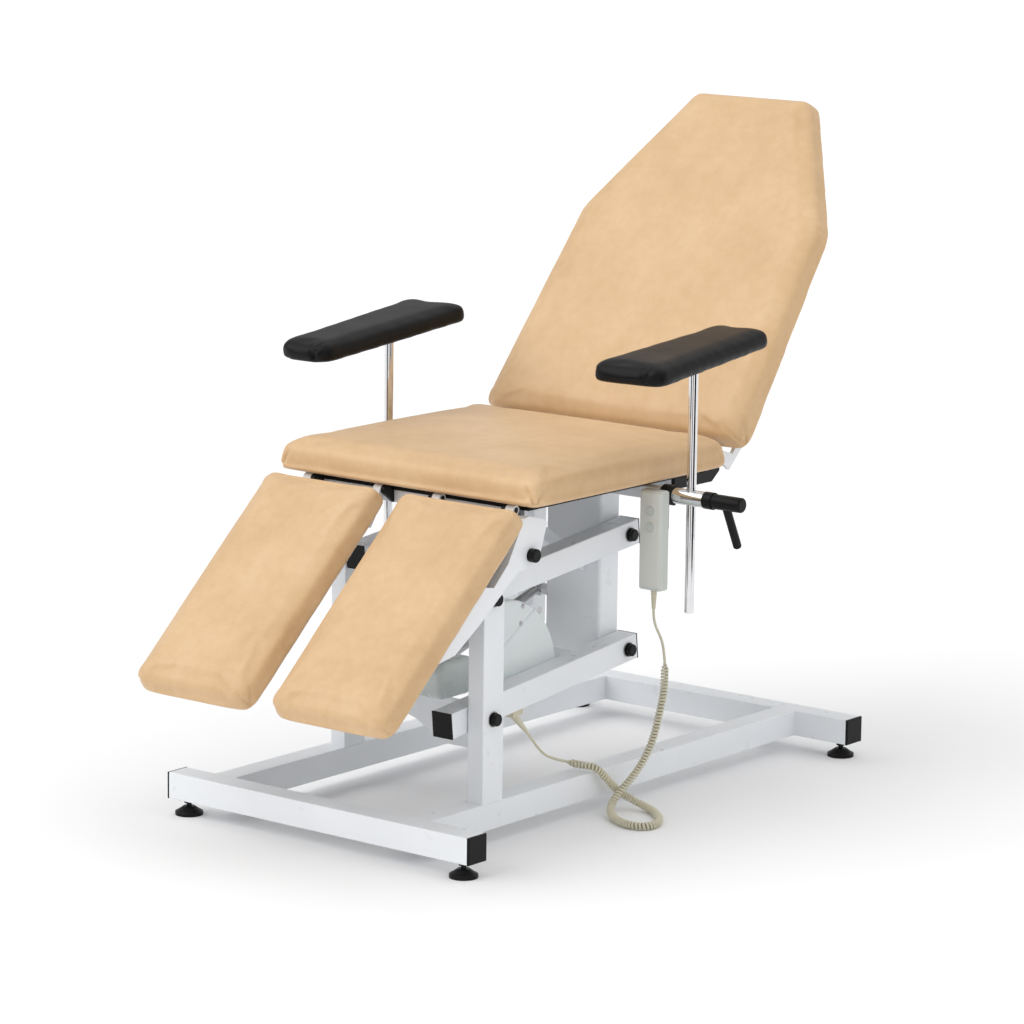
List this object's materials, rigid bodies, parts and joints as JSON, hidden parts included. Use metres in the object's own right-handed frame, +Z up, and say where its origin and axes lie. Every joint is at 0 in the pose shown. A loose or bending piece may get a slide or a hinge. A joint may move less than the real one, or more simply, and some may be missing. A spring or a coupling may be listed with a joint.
{
  "type": "medical treatment table",
  "caption": "Powered treatment table with a parallelogram lift, tilting back, split leg rests, two swivel armrests and a corded handset.",
  "frame": {"origin": "on the floor under the middle of the table's outline, cord left out", "axes": "+X to the table's right side seen from the foot end, the side with the handset; +Y towards the head end, the longest side; +Z up"},
  "size_m": [0.9605, 1.5085, 1.2742],
  "materials": {
    "white_paint": "smooth white powder coat",
    "black_plastic": "satin black moulded plastic",
    "black_paint": "black painted steel",
    "steel": "ground steel",
    "chrome": "polished chrome plate",
    "tan_leather": "tan upholstery leather with light mottling",
    "black_leather": "black satin upholstery leather",
    "dark_board": "black painted plywood",
    "grey_plastic": "light grey-green moulded plastic",
    "white_plastic": "milky white moulded plastic",
    "cream_plastic": "cream flexible plastic"
  },
  "bodies": {
    "root": {"front_bar": "white_paint", "rear_bar": "white_paint", "right_rail": "white_paint", "left_rail": "white_paint", "bar_end_caps": "black_plastic", "levelling_feet": "black_plastic", "right_post": "white_paint", "left_post": "white_paint", "front_pivot_bolts": "black_plastic"},
    "right_lower_arm": {"right_lower_arm": "white_paint", "right_lower_arm_caps": "black_plastic", "drive_bracket": "white_paint", "gear_cover": "white_plastic", "cord_gland": "cream_plastic"},
    "left_lower_arm": {"left_lower_arm": "white_paint", "left_lower_arm_caps": "black_plastic"},
    "right_upper_arm": {"right_upper_arm": "white_paint", "right_upper_arm_caps": "black_plastic"},
    "left_upper_arm": {"left_upper_arm": "white_paint", "left_upper_arm_caps": "black_plastic"},
    "drive": {"motor_housing": "grey_plastic", "drive_tube": "steel"},
    "drive_rod": {"drive_rod": "steel"},
    "carriage": {"column": "white_paint", "left_upright": "white_paint", "column_ties": "white_paint", "rear_pivot_pins": "steel", "rear_pivot_knobs": "black_plastic", "seat_frame": "white_paint", "seat_cushion": "tan_leather", "seat_board": "dark_board", "hinge_brackets": "black_paint", "armrest_tees": "chrome", "cord_upper_lead": "cream_plastic", "cord_coil": "cream_plastic", "cord_lower_lead": "cream_plastic"},
    "back": {"back_cushion": "tan_leather", "back_board": "dark_board", "back_frame": "black_paint"},
    "gas_cylinder": {"gas_cylinder": "black_paint"},
    "gas_rod": {"gas_rod": "steel"},
    "handset": {"handset_shell": "grey_plastic", "handset_hook": "black_plastic", "cord_relief": "cream_plastic"},
    "up_button": {"up_button": "grey_plastic"},
    "down_button": {"down_button": "grey_plastic"},
    "right_leg": {"right_leg_cushion": "tan_leather", "right_leg_board": "dark_board", "right_leg_lever": "white_paint"},
    "right_leg_knob": {"right_leg_knob": "black_plastic"},
    "right_armrest_post": {"right_armrest_post": "chrome"},
    "right_armrest_pad": {"right_armrest_pad": "black_leather"},
    "right_clamp_lever": {"right_clamp_lever": "black_plastic"},
    "left_leg": {"left_leg_cushion": "tan_leather", "left_leg_board": "dark_board", "left_leg_lever": "white_paint"},
    "left_leg_knob": {"left_leg_knob": "black_plastic"},
    "left_armrest_post": {"left_armrest_post": "chrome"},
    "left_armrest_pad": {"left_armrest_pad": "black_leather"},
    "left_clamp_lever": {"left_clamp_lever": "black_plastic"}
  },
  "joints": [
    {"name": "lift", "type": "hinge", "parent": "root", "child": "right_lower_arm", "pos_m": [0, -0.36606, 0.234], "axis": [1, 0, 0], "range_deg": [-1.5, 24], "deforming": ["cord_upper_lead", "cord_coil", "cord_lower_lead"]},
    {"name": "left_lower_pivot", "type": "hinge", "parent": "root", "child": "left_lower_arm", "pos_m": [0, -0.20106, 0.234], "axis": [1, 0, 0], "range_deg": [-2, 24.5]},
    {"name": "right_upper_pivot", "type": "hinge", "parent": "root", "child": "right_upper_arm", "pos_m": [0, -0.36606, 0.454], "axis": [1, 0, 0], "range_deg": [-2, 24.5]},
    {"name": "left_upper_pivot", "type": "hinge", "parent": "root", "child": "left_upper_arm", "pos_m": [0, -0.20106, 0.454], "axis": [1, 0, 0], "range_deg": [-2, 24.5]},
    {"name": "carriage_level", "type": "hinge", "parent": "right_lower_arm", "child": "carriage", "pos_m": [0, 0.08239, 0.28192], "axis": [1, 0, 0], "range_deg": [-24.5, 2]},
    {"name": "drive_tilt", "type": "hinge", "parent": "right_lower_arm", "child": "drive", "pos_m": [-0.01, -0.30706, 0.262], "axis": [1, 0, 0], "range_deg": [-2, 0.5]},
    {"name": "drive_stroke", "type": "slide", "parent": "drive", "child": "drive_rod", "axis": [0, 0.9582, 0.2862], "range_m": [-0.003, 0.0385]},
    {"name": "right_leg_tilt", "type": "hinge", "parent": "carriage", "child": "right_leg", "pos_m": [0, -0.32706, 0.612], "axis": [-1, 0, 0], "range_deg": [-12, 41.5]},
    {"name": "right_leg_knob_turn", "type": "hinge", "parent": "right_leg", "child": "right_leg_knob", "pos_m": [0.28, -0.31306, 0.532], "axis": [1, 0, 0], "continuous": true},
    {"name": "left_leg_tilt", "type": "hinge", "parent": "carriage", "child": "left_leg", "pos_m": [0, -0.32706, 0.612], "axis": [-1, 0, 0], "range_deg": [-12, 41.5]},
    {"name": "left_leg_knob_turn", "type": "hinge", "parent": "left_leg", "child": "left_leg_knob", "pos_m": [-0.28, -0.31306, 0.532], "axis": [1, 0, 0], "continuous": true},
    {"name": "back_tilt", "type": "hinge", "parent": "carriage", "child": "back", "pos_m": [0, 0.26294, 0.64], "axis": [1, 0, 0], "range_deg": [-52, 14]},
    {"name": "gas_tilt", "type": "hinge", "parent": "carriage", "child": "gas_cylinder", "pos_m": [0.081, 0.12294, 0.52], "axis": [1, 0, 0], "range_deg": [-10, 3]},
    {"name": "gas_stroke", "type": "slide", "parent": "gas_cylinder", "child": "gas_rod", "axis": [0, 0.8575, 0.5145], "range_m": [-0.039, 0.011]},
    {"name": "right_armrest_height", "type": "slide", "parent": "carriage", "child": "right_armrest_post", "axis": [0, 0, 1], "range_m": [-0.1, 0.12]},
    {"name": "right_armrest_swivel", "type": "hinge", "parent": "right_armrest_post", "child": "right_armrest_pad", "pos_m": [0.364, 0.04394, 0.862], "axis": [0, 0, 1], "range_deg": [-60, 60]},
    {"name": "right_clamp_turn", "type": "hinge", "parent": "carriage", "child": "right_clamp_lever", "pos_m": [0.44, 0.04394, 0.598], "axis": [1, 0, 0], "range_deg": [-60, 60]},
    {"name": "left_armrest_height", "type": "slide", "parent": "carriage", "child": "left_armrest_post", "axis": [0, 0, 1], "range_m": [-0.1, 0.12]},
    {"name": "left_armrest_swivel", "type": "hinge", "parent": "left_armrest_post", "child": "left_armrest_pad", "pos_m": [-0.364, 0.04394, 0.828], "axis": [0, 0, 1], "range_deg": [-60, 60]},
    {"name": "left_clamp_turn", "type": "hinge", "parent": "carriage", "child": "left_clamp_lever", "pos_m": [-0.44, 0.04394, 0.598], "axis": [1, 0, 0], "range_deg": [-60, 60]},
    {"name": "handset_swing", "type": "hinge", "parent": "carriage", "child": "handset", "pos_m": [0.315, 0.04394, 0.598], "axis": [1, 0, 0], "range_deg": [-12, 0]},
    {"name": "up_button_press", "type": "slide", "parent": "handset", "child": "up_button", "axis": [0, 1, 0], "range_m": [0, 0.0015], "stiffness_N_per_m": 400, "springref_m": -0.0005},
    {"name": "down_button_press", "type": "slide", "parent": "handset", "child": "down_button", "axis": [0, 1, 0], "range_m": [0, 0.0015], "stiffness_N_per_m": 400, "springref_m": -0.0005}
  ],
  "couplings": [
    {"joint": "left_lower_pivot", "follows": "lift", "ratio": 1},
    {"joint": "right_upper_pivot", "follows": "lift", "ratio": 1},
    {"joint": "left_upper_pivot", "follows": "lift", "ratio": 1},
    {"joint": "carriage_level", "follows": "lift", "ratio": -1},
    {"joint": "drive_tilt", "follows": "lift", "ratio": -0.060857},
    {"joint": "drive_stroke", "follows": "lift", "m_per_rad": 0.088961},
    {"joint": "gas_tilt", "follows": "back_tilt", "ratio": 0.18335},
    {"joint": "gas_stroke", "follows": "back_tilt", "m_per_rad": 0.042157}
  ]
}
